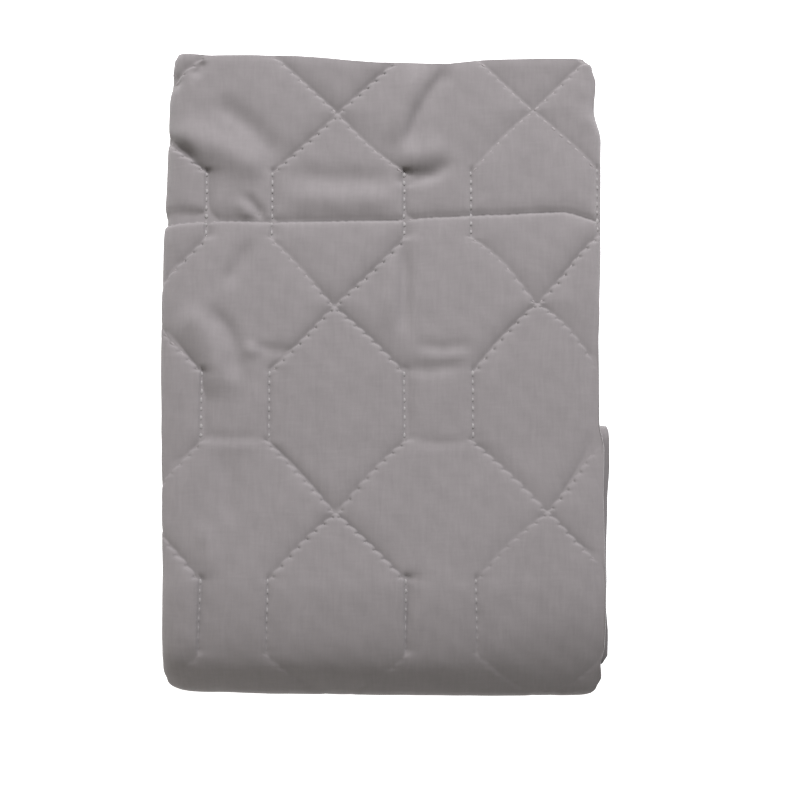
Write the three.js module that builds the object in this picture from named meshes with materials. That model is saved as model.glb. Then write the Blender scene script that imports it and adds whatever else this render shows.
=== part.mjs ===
// A quilted pillowcase, folded into a flat bundle. Lengths are in millimetres and +Z is up.
//
// The case is a bag of two quilted panels, front and back, sewn together down both long sides and
// across the closed end, with a deep turned hem round its mouth. It is folded twice:
//   1. in half lengthwise, back panel inside, so the fold is at -X and both side seams are at +X;
//   2. the closed end is turned under twice, so three runs of the strip lie on top of each other
//      at -Y, and the hemmed mouth lies by itself on the surface at +Y.
// The origin is under the middle of the bundle, on the surface that it rests on.

import * as THREE from "three";

// ---- Driving dimensions ----

const CASE_WIDTH = 508; // seam to seam
const CASE_LENGTH = 680; // mouth to closed end
const CLOTH = 3; // one quilted panel: face cloth, wadding and backing
const HEM_DEPTH = 95; // mouth to the hem's stitch line
const HEM_PLY = 1.2; // the hem's turned-in cloth, pressed under its stitches
const HEM_EDGE = 8; // over which the turned-in cloth thins out towards the stitch line
const HEM_GROOVE = 5; // half width of the groove that the stitches pull
const HEM_GROOVE_SHARE = 0.5; // of the cloth's thickness taken by the groove
const MOUTH_ROUND = 6; // over which the mouth's folded edge rounds off
const MOUTH_SHARE = 0.5; // of the thickness left at that edge
const PLY_GAP = 0.4; // between panels that are pressed together
const RUN_GAP = 0.6; // between two runs of the folded strip

const MOUTH_Y = 186.4; // the hemmed mouth
const FOOT_Y = 150; // where the loose end comes down onto the surface
const CREST_Y = -44; // where it leaves the stack of three runs
const INNER_FOLD_Y = -30.7; // outermost line of the fold inside the bundle
const SHOULDER_Y = -122; // where the stack is thickest and starts to round over into the roll
const ROLL_Y = -191.3; // outermost line of the rolled edge
const ROLL_RADIUS = 11.4; // of the roll's outer face
const SHOULDER_FALL = THREE.MathUtils.degToRad(36); // how steeply the shoulder meets the roll

const LOOSE_LIFT = 7.5; // from the loose end's middle to its outer panels
const LOOSE_BACK_LIFT = 1.7; // and to its inner panels
const FOLD_REACH = 12; // how far the lengthwise fold bulges past its middle
const BACK_FOLD_IN = 0.5; // the inner fold's middle lies this much nearer the crease
const FOLD_CLOTH = 15; // cloth in each half of the lengthwise fold

const SEAM_CLOTH = 1.2; // a panel squeezed in a seam
const SEAM_REACH = 5; // how far from a seam its squeeze is felt
const SEAM_LIP = 1.2; // the steepest part of that reach, right at the seam
const FOLD_SHARE = 0.72; // a panel is pressed to this share of its thickness at the fold inside,
const ROLL_SHARE = 0.62; // to this share at the roll,
const END_SHARE = 0.45; // and to this share at the closed end

// ---- Heights, worked out from the above ----

const LOOSE_Z = LOOSE_LIFT + CLOTH / 2; // middle of the loose end, lying on the surface

// How thick four panels are, pressed together to a share of their own thickness.
const strip = (share) => 4 * CLOTH * share + 3 * PLY_GAP;

// The middle of a run: 0 is the bottom one, 1 the one inside, and 2 the top one.
const runZ = (run, share) => (run + 0.5) * strip(share) + run * RUN_GAP;

const ROLL_CENTRE_Y = ROLL_Y + ROLL_RADIUS;
const INNER_RADIUS = (runZ(1, FOLD_SHARE) - runZ(0, FOLD_SHARE)) / 2;
const INNER_CENTRE_Y = INNER_FOLD_Y - strip(FOLD_SHARE) / 2 - INNER_RADIUS;

// The share of a panel's thickness that is left in the stack: all of it at the shoulder, less
// towards the roll and towards the fold inside.
function pressedAt(y) {
  const towardsRoll = (SHOULDER_Y - y) / (SHOULDER_Y - ROLL_CENTRE_Y);
  const towardsFold = (y - SHOULDER_Y) / (INNER_CENTRE_Y - SHOULDER_Y);
  if (y < SHOULDER_Y) return THREE.MathUtils.lerp(1, ROLL_SHARE, towardsRoll);
  return THREE.MathUtils.lerp(1, FOLD_SHARE, towardsFold);
}

// ---- Uneven edges ----

// The bundle's two long sides. "along" is measured down the strip from the mouth.
const SIDES = [
  { along: 0, crease: -123.2, seam: 117.4 },
  { along: 5, crease: -124.9, seam: 122.8 },
  { along: 14, crease: -126.2, seam: 125.0 },
  { along: 30, crease: -128.0, seam: 124.0 },
  { along: 48, crease: -128.7, seam: 128.0 },
  { along: 62, crease: -129.0, seam: 127.8 },
  { along: 112, crease: -131.6, seam: 127.2 },
  { along: 150, crease: -132.2, seam: 126.0 },
  { along: 170, crease: -131.8, seam: 125.1 },
  { along: 217, crease: -130.7, seam: 124.8 },
  { along: 232, crease: -130.3, seam: 127.2 },
  { along: 262, crease: -129.4, seam: 126.2 },
  { along: 310, crease: -127.6, seam: 126.6 },
  { along: 345, crease: -128.0, seam: 126.6 },
  { along: 355, crease: -128.6, seam: 125.2 },
  { along: 366, crease: -129.4, seam: 126.4 },
  { along: 374, crease: -128.6, seam: 124.4 },
  { along: 382, crease: -126.0, seam: 119.5 },
  { along: 392, crease: -123.5, seam: 119.0 },
  { along: 410, crease: -126.5, seam: 124.5 },
  { along: 524, crease: -123.0, seam: 132.6 },
  { along: 560, crease: -123.4, seam: 132.2 },
  { along: 585, crease: -124.2, seam: 130.6 },
  { along: 613, crease: -124.8, seam: 129.6 },
  { along: 640, crease: -124.2, seam: 129.6 },
  { along: 664, crease: -123.8, seam: 131.5 },
  { along: 675, crease: -123.4, seam: 131.6 },
  { along: 680, crease: -122.0, seam: 128.5 },
];

// How far lines across the strip wander in Y, at places from the crease to the seams.
const WANDER_X = [-128, -100, -64, 0, 32, 64, 104, 128];
const WANDER = [
  { along: 0, y: [3.4, 1.2, 1.2, -2.9, -3.9, -1.4, -0.8, -1.0] }, // mouth
  { along: 95, y: [-2.8, -1.2, -1.8, -1.1, 1.0, 2.4, 3.5, -1.5] }, // hem line
  { along: 240, y: [0, 0, 0, 0, 0, 0, 0, 0] }, // crest
  { along: 345, y: [1.0, 0.7, 0.4, 0, 0, 0, 0, 0] }, // shoulder
  { along: 384, y: [3.2, 2.3, 1.3, 0.5, 0.3, 0, 0.2, 0.6] }, // roll
  { along: 420, y: [0.6, 0.4, 0.2, 0, 0, 0, 0, 0] }, // bottom run
  { along: 680, y: [0, 0, 0, 0, 0, 0, 0, 0] }, // closed end
];

// ---- The strip's middle, seen from the side as (y, z), from the mouth to the closed end ----

const sideView = (y, z) => new THREE.Vector2(y, z);

function stripMiddle() {
  const radius = ROLL_RADIUS - strip(ROLL_SHARE) / 2;
  const rollStart = sideView(
    ROLL_CENTRE_Y - radius * Math.sin(SHOULDER_FALL),
    ROLL_RADIUS + radius * Math.cos(SHOULDER_FALL),
  );
  const intoRoll = sideView(Math.cos(SHOULDER_FALL), Math.sin(SHOULDER_FALL));
  const crest = sideView(CREST_Y, runZ(2, pressedAt(CREST_Y)));
  const shoulder = sideView(SHOULDER_Y, runZ(2, 1));
  const topRun = shoulder.clone().sub(crest).divideScalar(CREST_Y - SHOULDER_Y);
  const slope = (FOOT_Y - CREST_Y) / 3;
  const reach = (SHOULDER_Y - rollStart.x) / 3;

  const path = new THREE.CurvePath();
  path.add(new THREE.LineCurve(sideView(MOUTH_Y, LOOSE_Z), sideView(FOOT_Y, LOOSE_Z)));
  path.add(
    new THREE.CubicBezierCurve(
      sideView(FOOT_Y, LOOSE_Z),
      sideView(FOOT_Y - slope, LOOSE_Z),
      crest.clone().addScaledVector(topRun, -slope),
      crest,
    ),
  );
  path.add(new THREE.LineCurve(crest, shoulder));
  path.add(
    new THREE.CubicBezierCurve(
      shoulder,
      shoulder.clone().addScaledVector(topRun, reach),
      rollStart.clone().addScaledVector(intoRoll, reach),
      rollStart,
    ),
  );
  path.add(
    new THREE.EllipseCurve(
      ROLL_CENTRE_Y, ROLL_RADIUS, radius, radius,
      Math.PI / 2 + SHOULDER_FALL, (3 * Math.PI) / 2, false,
    ),
  );
  const bottom = sideView(SHOULDER_Y, runZ(0, 1));
  path.add(new THREE.LineCurve(sideView(ROLL_CENTRE_Y, runZ(0, ROLL_SHARE)), bottom));
  path.add(new THREE.LineCurve(bottom, sideView(INNER_CENTRE_Y, runZ(0, FOLD_SHARE))));
  path.add(
    new THREE.EllipseCurve(
      INNER_CENTRE_Y, runZ(0, FOLD_SHARE) + INNER_RADIUS, INNER_RADIUS, INNER_RADIUS,
      -Math.PI / 2, Math.PI / 2, false,
    ),
  );
  const inside = sideView(SHOULDER_Y, runZ(1, 1));
  path.add(new THREE.LineCurve(sideView(INNER_CENTRE_Y, runZ(1, FOLD_SHARE)), inside));
  const endY = SHOULDER_Y - (CASE_LENGTH - path.getLength());
  const endZ = strip(pressedAt(endY)) + RUN_GAP + strip(END_SHARE) / 2;
  path.add(new THREE.LineCurve(inside, sideView(endY, endZ)));
  return path;
}

const middle = stripMiddle();
const middleLength = middle.getLength();

// Where each bend of the strip starts, measured from the mouth.
const starts = middle.curves.map((_, i) =>
  middle.curves.slice(0, i).reduce((sum, curve) => sum + curve.getLength(), 0),
);
const [, , CREST, SHOULDER, ROLL, UNDER, BOTTOM, INNER_FOLD, INSIDE, TAPER] = starts;

// The share of a panel's thickness that is left along the strip.
const SHARES = [
  { along: HEM_DEPTH, share: 1 },
  { along: CREST, share: pressedAt(CREST_Y) },
  { along: SHOULDER, share: 1 },
  { along: ROLL, share: ROLL_SHARE },
  { along: UNDER, share: ROLL_SHARE },
  { along: BOTTOM, share: 1 },
  { along: INNER_FOLD, share: FOLD_SHARE },
  { along: INSIDE, share: FOLD_SHARE },
  { along: TAPER, share: 1 },
  { along: CASE_LENGTH, share: END_SHARE },
];

// ---- Small helpers ----

const { clamp, lerp, smoothstep } = THREE.MathUtils;

const straightly = (value, low, high) => (value - low) / (high - low);

// Reads one column of a table at a place along the strip, easing between its rows.
function read(rows, along, column, ease = smoothstep) {
  const next = rows.findIndex((row) => row.along > along);
  if (next < 0) return column(rows.at(-1));
  if (next === 0) return column(rows[0]);
  const [before, after] = [rows[next - 1], rows[next]];
  return lerp(column(before), column(after), ease(along, before.along, after.along));
}

function wander(x, along) {
  const beyond = WANDER_X.findIndex((place) => place > x);
  const i = clamp(beyond < 0 ? WANDER_X.length : beyond, 1, WANDER_X.length - 1);
  return lerp(
    read(WANDER, along, (row) => row.y[i - 1]),
    read(WANDER, along, (row) => row.y[i]),
    smoothstep(x, WANDER_X[i - 1], WANDER_X[i]),
  );
}

// ---- A panel ----

// The front panel is outside the lengthwise fold. The back panel is inside it, face to face with
// itself. "ply" counts the plies from the strip's middle to the panel's own middle.
const PANELS = {
  front: { ply: 1.5, loose: LOOSE_LIFT, bagSide: -1 },
  back: { ply: 0.5, loose: LOOSE_BACK_LIFT, bagSide: 1 },
};

// 1 on the loose end and 0 where the strip is pressed in the stack.
const PRESSED = CREST + 10;
const looseness = (along) => 1 - smoothstep(along, HEM_DEPTH, PRESSED);

// A panel's thickness, which is less where it lies pressed.
const clothAt = (along) => CLOTH * read(SHARES, along, (row) => row.share, straightly);

// How far a panel's middle lies from the strip's middle.
function liftOf(panel, along) {
  return lerp(panel.ply * (clothAt(along) + PLY_GAP), panel.loose, looseness(along));
}

// How far one side of a panel (1 away from the strip's middle, -1 towards it) lies from that middle.
function faceOf(panel, side, across, along) {
  const groove = HEM_GROOVE_SHARE * Math.exp(-(((along - HEM_DEPTH) / HEM_GROOVE) ** 2));
  const turnedIn = 1 - smoothstep(along, HEM_DEPTH - HEM_EDGE, HEM_DEPTH);
  const hem = side === panel.bagSide ? HEM_PLY * turnedIn : 0;
  const mouth = lerp(MOUTH_SHARE, 1, Math.sqrt(smoothstep(along, 0, MOUTH_ROUND)));
  const half = (clothAt(along) / 2) * (1 - groove);
  const free = liftOf(panel, along) + side * (half + hem) * mouth;

  const edge = Math.min(CASE_WIDTH / 2 - Math.abs(across), CASE_LENGTH - along);
  const sewn = 1 - Math.sqrt(clamp(edge / SEAM_REACH, 0, 1));
  const seam = (liftOf(PANELS.front, along) + liftOf(PANELS.back, along)) / 2;
  const thick = side === panel.bagSide ? 0 : SEAM_CLOTH;
  return lerp(free, seam - panel.bagSide * (PLY_GAP / 2 + thick), sewn);
}

// Places one point of a panel. "across" runs from -half the width, on the lower leg of the
// lengthwise fold, through 0 at its crease, to half the width on the upper leg.
function place(panel, across, along, side) {
  const near = faceOf(panel, -1, across, along);
  const far = faceOf(panel, 1, across, along);
  const lift = (near + far) / 2;
  const half = (far - near) / 2;
  const crease = read(SIDES, along, (row) => row.crease);
  const seam = read(SIDES, along, (row) => row.seam);
  const isFront = panel === PANELS.front;
  const reach = isFront ? FOLD_REACH : lift;
  const foldX = crease + FOLD_REACH + CLOTH / 2 - (isFront ? 0 : BACK_FOLD_IN);

  let x, out;
  const onLeg = (Math.abs(across) - FOLD_CLOTH) / (CASE_WIDTH / 2 - FOLD_CLOTH);
  if (onLeg > 0) {
    x = lerp(foldX, seam, onLeg);
    out = Math.sign(across) * (lift + side * half);
  } else {
    const turn = ((across / FOLD_CLOTH) * Math.PI) / 2;
    const normal = new THREE.Vector2(-Math.cos(turn) / reach, Math.sin(turn) / lift).normalize();
    x = foldX - reach * Math.cos(turn) + side * half * normal.x;
    out = lift * Math.sin(turn) + side * half * normal.y;
  }
  const t = along / middleLength;
  const on = middle.getPoint(t);
  const ahead = middle.getTangent(t);
  return new THREE.Vector3(x, on.x + out * ahead.y + wander(x, along), on.y - out * ahead.x);
}

// A closed thin solid over a grid of places across and along the panel.
function panelGeometry(panel, across, along) {
  const rows = along.length;
  const columns = across.length;
  const points = [1, -1].flatMap((side) =>
    along.flatMap((v) => across.map((u) => place(panel, u, v, side))),
  );
  const index = (side, row, column) => side * rows * columns + row * columns + column;
  const faces = [];
  const quad = (a, b, c, d) => faces.push(a, d, c, a, c, b);
  for (let r = 0; r + 1 < rows; r++) {
    for (let c = 0; c + 1 < columns; c++) {
      quad(index(0, r, c), index(0, r + 1, c), index(0, r + 1, c + 1), index(0, r, c + 1));
      quad(index(1, r, c), index(1, r, c + 1), index(1, r + 1, c + 1), index(1, r + 1, c));
    }
    const last = columns - 1;
    quad(index(0, r, 0), index(1, r, 0), index(1, r + 1, 0), index(0, r + 1, 0));
    quad(index(0, r, last), index(0, r + 1, last), index(1, r + 1, last), index(1, r, last));
  }
  for (let c = 0; c + 1 < columns; c++) {
    const last = rows - 1;
    quad(index(0, 0, c), index(0, 0, c + 1), index(1, 0, c + 1), index(1, 0, c));
    quad(index(0, last, c), index(1, last, c), index(1, last, c + 1), index(0, last, c + 1));
  }
  const geometry = new THREE.BufferGeometry().setFromPoints(points);
  geometry.setIndex(faces);
  geometry.computeVertexNormals();
  return geometry;
}

// ---- Where the grid's lines run ----

// Evenly spaced values from start to end, without the end.
const steps = (start, end, count) =>
  Array.from({ length: count }, (_, i) => lerp(start, end, i / count));

// From the upper seam round the crease to the lower seam.
function acrossLines(foldSteps) {
  const half = CASE_WIDTH / 2;
  const edge = [half, half - SEAM_LIP, half - SEAM_REACH];
  const leg = [...edge, ...steps(half - 6 * SEAM_REACH, FOLD_CLOTH, 4)];
  return [
    ...leg,
    ...steps(FOLD_CLOTH, -FOLD_CLOTH, foldSteps),
    -FOLD_CLOTH,
    ...leg.toReversed().map((across) => -across),
  ];
}

// From the mouth round both bends to the closed end.
function alongLines() {
  const groove = 2 * HEM_GROOVE;
  return [
    ...steps(0, MOUTH_ROUND, 3),
    ...steps(MOUTH_ROUND, HEM_DEPTH - groove, 3),
    ...steps(HEM_DEPTH - groove, HEM_DEPTH + groove, 4),
    ...steps(HEM_DEPTH + groove, PRESSED, 8),
    ...steps(PRESSED, SHOULDER, 2),
    ...steps(SHOULDER, ROLL, 5),
    ...steps(ROLL, UNDER, 7),
    ...steps(UNDER, BOTTOM, 1),
    ...steps(BOTTOM, INNER_FOLD, 2),
    ...steps(INNER_FOLD, INSIDE, 6),
    ...steps(INSIDE, TAPER, 2),
    ...steps(TAPER, CASE_LENGTH - SEAM_REACH, 3),
    CASE_LENGTH - SEAM_REACH, CASE_LENGTH - SEAM_LIP, CASE_LENGTH,
  ];
}

// ---- The pillowcase ----

const quilted = (colour) =>
  new THREE.MeshStandardMaterial({ color: colour, roughness: 0.92, metalness: 0 });

function panelMesh(name, panel, foldSteps, colour) {
  const geometry = panelGeometry(panel, acrossLines(foldSteps), alongLines());
  const mesh = new THREE.Mesh(geometry, quilted(colour));
  mesh.name = name;
  return mesh;
}

const pillowcase = new THREE.Group();
pillowcase.add(panelMesh("front_panel", PANELS.front, 8, "#938d8f"));
pillowcase.add(panelMesh("back_panel", PANELS.back, 6, "#8e888a"));

export default pillowcase;
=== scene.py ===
# %% [markdown]
# # A folded quilted pillowcase
#
# This lesson dresses the folded pillowcase. The real one is a bag of two quilted panels with a deep
# turned hem round its mouth. It is folded in half lengthwise, so its fold is on the left and its side
# seams are on the right, and then its closed end is turned under twice. Three runs of the folded
# strip lie on top of each other at the near end, and the hemmed mouth lies by itself at the far end.
#
# A cloth simulation could fold a flat bag, but it would never fold the same way twice, and it would
# lose the quilting. Here each panel is a flat grid that keeps its quilting, and one rule carries
# every point of the grid round the folds. The first step loads the solids that the cloth follows.

import math

import bmesh
import bpy
import numpy as np
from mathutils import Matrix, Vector


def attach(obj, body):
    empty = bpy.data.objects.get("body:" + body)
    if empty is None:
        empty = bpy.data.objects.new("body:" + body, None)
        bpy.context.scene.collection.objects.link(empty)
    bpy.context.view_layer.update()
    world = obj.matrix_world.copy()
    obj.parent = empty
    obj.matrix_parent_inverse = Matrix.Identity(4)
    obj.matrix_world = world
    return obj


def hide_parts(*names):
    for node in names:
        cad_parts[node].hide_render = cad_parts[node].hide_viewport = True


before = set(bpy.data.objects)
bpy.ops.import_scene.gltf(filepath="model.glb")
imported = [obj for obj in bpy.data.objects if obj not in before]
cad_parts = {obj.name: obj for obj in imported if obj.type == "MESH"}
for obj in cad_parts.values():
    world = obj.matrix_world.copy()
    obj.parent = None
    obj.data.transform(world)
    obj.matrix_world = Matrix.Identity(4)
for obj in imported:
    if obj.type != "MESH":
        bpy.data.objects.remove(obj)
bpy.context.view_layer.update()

# %% [markdown]
# ## Sizes
#
# The flat case is 508 mm across and 680 mm from its mouth to its closed end, and one quilted panel is
# 3 mm thick. The other sizes say where the bundle bends, and are the same as the solids', so the
# cloth lies in the same place. Lengths are in millimetres here, as a cutter would measure them, and
# become metres when the points are placed.

# %% Sizes of the case and of its folds
MM = 0.001
CASE_WIDTH, CASE_LENGTH, CLOTH = 508, 680, 3

HEM_DEPTH, HEM_PLY, HEM_EDGE = 95, 1.2, 8  # mouth to stitch line, turned-in cloth, its thin edge
MOUTH_ROUND, MOUTH_SHARE = 6, 0.5  # the mouth's folded edge
PLY_GAP, RUN_GAP = 0.4, 0.6  # between panels pressed together, and between runs of the strip

MOUTH_Y, FOOT_Y, CREST_Y = 186.4, 150, -44
INNER_FOLD_Y, SHOULDER_Y, ROLL_Y = -30.7, -122, -191.3
ROLL_RADIUS, SHOULDER_FALL = 11.4, math.radians(36)

FOLD_REACH, FOLD_CLOTH, BACK_FOLD_IN = 12, 15, 0.5  # the lengthwise fold
SEAM_CLOTH, SEAM_REACH = 1.2, 5  # a panel squeezed in a seam, and how far that is felt
# the shares of its thickness that a panel is pressed to: at the inner fold, the roll, the closed end
FOLD_SHARE, ROLL_SHARE, END_SHARE = 0.72, 0.62, 0.45


def strip(share=1):
    """How thick four panels are, pressed together."""
    return 4 * CLOTH * share + 3 * PLY_GAP


def run_z(run, share=1):
    """Height of the middle of a run: 0 is the bottom one, 1 the one inside, and 2 the top one."""
    return (run + 0.5) * strip(share) + run * RUN_GAP


# Each panel counts its plies from the middle of the strip. On the loose end it lies further out.
PANELS = {
    "front": {"ply": 1.5, "loose": 7.5, "bag_side": -1},
    "back": {"ply": 0.5, "loose": 1.7, "bag_side": 1},
}
LOOSE_Z = PANELS["front"]["loose"] + CLOTH / 2
print(f"strip of four panels: {strip():.1f} mm, three of them: {run_z(2) + strip() / 2:.1f} mm")

# %% [markdown]
# ## Helpers for soft changes
#
# Cloth never changes abruptly, so every change along it is eased. `ramp` rises softly from 0 to 1,
# and `eased` reads a small table of hand-set values, with a row for each place along the cloth and a
# column for each place across it. Both take a whole array of points at once, which is quick.


# %% Easing helpers
def ramp(value, low, high):
    t = np.clip((value - low) / (high - low), 0, 1)
    return t * t * (3 - 2 * t)


def mix(a, b, share):
    return a + (b - a) * share


def bracket(places, value):
    """Which two places a value lies between, and how far along, eased."""
    places = np.asarray(places, float)
    i = np.clip(np.searchsorted(places, value, side="right") - 1, 0, len(places) - 2)
    return i, ramp(value, places[i], places[i + 1])


def eased(table, rows, columns, row, column):
    table = np.asarray(table, float)
    i, down = bracket(rows, row)
    j, right = bracket(columns, column)
    upper = mix(table[i, j], table[i, j + 1], right)
    lower = mix(table[i + 1, j], table[i + 1, j + 1], right)
    return mix(upper, lower, down)


print("halfway up a ramp:", ramp(0.5, 0, 1))

# %% [markdown]
# ## The strip from the side
#
# Seen from the side, the folded strip is one long line: it lies on the table at the mouth, climbs
# onto the stack, runs over the top, rolls under, comes back along the table, folds once more and ends
# inside. Each point could be worked out case by case. It is simpler to walk the line once in small
# steps, note where each step lands, and then look places up.


# %% The strip's middle line, as (y, z)
def straight(a, b, steps=300):
    t = np.linspace(0, 1, steps)[:, None]
    return mix(np.array(a, float), np.array(b, float), t)


def bend(a, b, c, d, steps=600):
    """From a to d. It sets out towards b and arrives from c."""
    t = np.linspace(0, 1, steps)[:, None]
    a, b, c, d = (np.array(p, float) for p in (a, b, c, d))
    return (1 - t) ** 3 * a + 3 * (1 - t) ** 2 * t * b + 3 * (1 - t) * t**2 * c + t**3 * d


def arc(y, z, radius, start, end, steps=400):
    turn = np.linspace(start, end, steps)
    return np.stack([y + radius * np.cos(turn), z + radius * np.sin(turn)], 1)


roll_y = ROLL_Y + ROLL_RADIUS
roll_radius = ROLL_RADIUS - strip(ROLL_SHARE) / 2
inner_radius = (run_z(1, FOLD_SHARE) - run_z(0, FOLD_SHARE)) / 2
inner_y = INNER_FOLD_Y - strip(FOLD_SHARE) / 2 - inner_radius


def pressed(y):
    """The share of a panel's thickness that is left in the stack: all of it at the shoulder."""
    return np.interp(y, [roll_y, SHOULDER_Y, inner_y], [ROLL_SHARE, 1, FOLD_SHARE])


into_roll = np.array([math.cos(SHOULDER_FALL), math.sin(SHOULDER_FALL)])
roll_start = np.array([roll_y - roll_radius * into_roll[1], ROLL_RADIUS + roll_radius * into_roll[0]])
crest = np.array([CREST_Y, run_z(2, pressed(CREST_Y))])
shoulder = np.array([SHOULDER_Y, run_z(2)])
top_run = (shoulder - crest) / (CREST_Y - SHOULDER_Y)
slope, reach = (FOOT_Y - CREST_Y) / 3, (SHOULDER_Y - roll_start[0]) / 3
parts = [
    straight((MOUTH_Y, LOOSE_Z), (FOOT_Y, LOOSE_Z)),
    bend((FOOT_Y, LOOSE_Z), (FOOT_Y - slope, LOOSE_Z), crest - slope * top_run, crest),
    straight(crest, shoulder),
    bend(shoulder, shoulder + reach * top_run, roll_start + reach * into_roll, roll_start),
    arc(roll_y, ROLL_RADIUS, roll_radius, math.pi / 2 + SHOULDER_FALL, 3 * math.pi / 2),
    straight((roll_y, run_z(0, ROLL_SHARE)), (SHOULDER_Y, run_z(0))),
    straight((SHOULDER_Y, run_z(0)), (inner_y, run_z(0, FOLD_SHARE))),
    arc(inner_y, run_z(0, FOLD_SHARE) + inner_radius, inner_radius, -math.pi / 2, math.pi / 2),
    straight((inner_y, run_z(1, FOLD_SHARE)), (SHOULDER_Y, run_z(1))),
]


def length(line):
    return np.hypot(*np.diff(line, axis=0).T).sum()


end_y = SHOULDER_Y - (CASE_LENGTH - sum(length(part) for part in parts))
end_z = strip(pressed(end_y)) + RUN_GAP + strip(END_SHARE) / 2
parts.append(straight((SHOULDER_Y, run_z(1)), (end_y, end_z)))
starts = np.cumsum([0] + [length(part) for part in parts])
CREST, SHOULDER, ROLL, UNDER, BOTTOM, INNER_FOLD, INSIDE, TAPER = starts[2:10]
SHARES = [
    (HEM_DEPTH, 1), (CREST, pressed(CREST_Y)), (SHOULDER, 1), (ROLL, ROLL_SHARE), (UNDER, ROLL_SHARE),
    (BOTTOM, 1), (INNER_FOLD, FOLD_SHARE), (INSIDE, FOLD_SHARE), (TAPER, 1), (CASE_LENGTH, END_SHARE),
]
walk = np.concatenate([parts[0]] + [part[1:] for part in parts[1:]])
walked = np.concatenate([[0], np.cumsum(np.hypot(*np.diff(walk, axis=0).T))])


def middle(along):
    """The strip's middle and its direction, as y, z, dy, dz, at places along the strip."""
    y, z = (np.interp(along, walked, walk[:, k]) for k in (0, 1))
    step = 0.07
    ahead, behind = (np.clip(along + side * step, 0, walked[-1]) for side in (1, -1))
    dy, dz = (
        np.interp(ahead, walked, walk[:, k]) - np.interp(behind, walked, walk[:, k]) for k in (0, 1)
    )
    size = np.hypot(dy, dz)
    return y, z, dy / size, dz / size


print("the strip bends at", [round(float(s)) for s in starts])

# %% [markdown]
# ## Uneven edges
#
# The bundle was folded by hand, so its fold and its seams are not straight, and its mouth and its hem
# line wave a little. Noise would wave everywhere alike. Small tables put each waver where it
# belongs: the tucked end stands out past the seams of the top run, the mouth dips right of
# its middle, and the roll's corners are rounded.

# %% Tables of the two long sides and of the waves across the strip
# X of the crease and of the seams, by place along the strip
SIDES_ALONG = [0, 5, 14, 30, 48, 62, 112, 150, 170, 217, 232, 262, 310, 345,
               355, 366, 374, 382, 392, 410, 524, 560, 585, 613, 640, 664, 675, 680]
CREASE_X = [-123.2, -124.9, -126.2, -128.0, -128.7, -129.0, -131.6, -132.2, -131.8, -130.7,
            -130.3, -129.4, -127.6, -128.0, -128.6, -129.4, -128.6, -126.0, -123.5, -126.5,
            -123.0, -123.4, -124.2, -124.8, -124.2, -123.8, -123.4, -122.0]
SEAM_X = [117.4, 122.8, 125.0, 124.0, 128.0, 127.8, 127.2, 126.0, 125.1, 124.8,
          127.2, 126.2, 126.6, 126.6, 125.2, 126.4, 124.4, 119.5, 119.0, 124.5,
          132.6, 132.2, 130.6, 129.6, 129.6, 131.5, 131.6, 128.5]

# how far the strip wavers in Y, by place along it and by X
WAVE_ALONG = [0, 95, 240, 345, 384, 420, 680]
WAVE_X = [-128, -100, -64, 0, 32, 64, 104, 128]
WAVE_Y = [
    [3.4, 1.2, 1.2, -2.9, -3.9, -1.4, -0.8, -1.0],  # mouth
    [-2.8, -1.2, -1.8, -1.1, 1.0, 2.4, 3.9, -1.5],  # hem line
    [0] * 8,  # crest
    [1.0, 0.7, 0.4, 0, 0, 0, 0, 0],  # shoulder
    [3.2, 2.3, 1.3, 0.5, 0.3, 0, 0.2, 0.6],  # roll
    [0.6, 0.4, 0.2, 0, 0, 0, 0, 0],  # bottom run
    [0] * 8,  # closed end
]


def sides(along):
    """X of the crease and of the seams at places along the strip."""
    i, share = bracket(SIDES_ALONG, along)
    crease, seam = np.array(CREASE_X), np.array(SEAM_X)
    return mix(crease[i], crease[i + 1], share), mix(seam[i], seam[i + 1], share)


print("widest run:", max(SEAM_X) - min(CREASE_X), "mm")

# %% [markdown]
# ## Placing a point of a panel
#
# `across` runs from the lower seam round the crease to the upper seam, and `along` runs from the
# mouth to the closed end. `side` is 1 on the face that looks away from the strip's middle and -1 on
# the face towards it. A point could be bent by a chain of modifiers, one for each fold, but their
# order is hard to follow. One function is easier to read: how far the face lies from the strip's
# middle, then where that is in the lengthwise fold, then where the strip is at that place.

# %% From flat cloth to folded cloth
PAST_CREST = 10  # where the plies lie pressed together


def looseness(along):
    """1 on the loose end and 0 in the stack."""
    return 1 - ramp(along, HEM_DEPTH, CREST + PAST_CREST)


def cloth_at(along):
    return CLOTH * np.interp(along, *zip(*SHARES))


def lift_of(panel, along):
    return mix(panel["ply"] * (cloth_at(along) + PLY_GAP), panel["loose"], looseness(along))


def off_seam(across, along):
    """0 at a side seam and at the closed end, and 1 where they are no longer felt."""
    edge = np.minimum(CASE_WIDTH / 2 - np.abs(across), CASE_LENGTH - along)
    return np.sqrt(np.clip(edge / SEAM_REACH, 0, 1))


def face_of(panel, side, across, along):
    """How far one face of a panel lies from the strip's middle."""
    turned_in = 1 - ramp(along, HEM_DEPTH - HEM_EDGE, HEM_DEPTH)
    hem = HEM_PLY * turned_in if side == panel["bag_side"] else 0
    mouth = mix(MOUTH_SHARE, 1, np.sqrt(ramp(along, 0, MOUTH_ROUND)))
    free = lift_of(panel, along) + side * (cloth_at(along) / 2 + hem) * mouth
    seam = (lift_of(PANELS["front"], along) + lift_of(PANELS["back"], along)) / 2
    thick = 0 if side == panel["bag_side"] else SEAM_CLOTH
    sewn = seam - panel["bag_side"] * (PLY_GAP / 2 + thick)
    return mix(free, sewn, 1 - off_seam(across, along))


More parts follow.
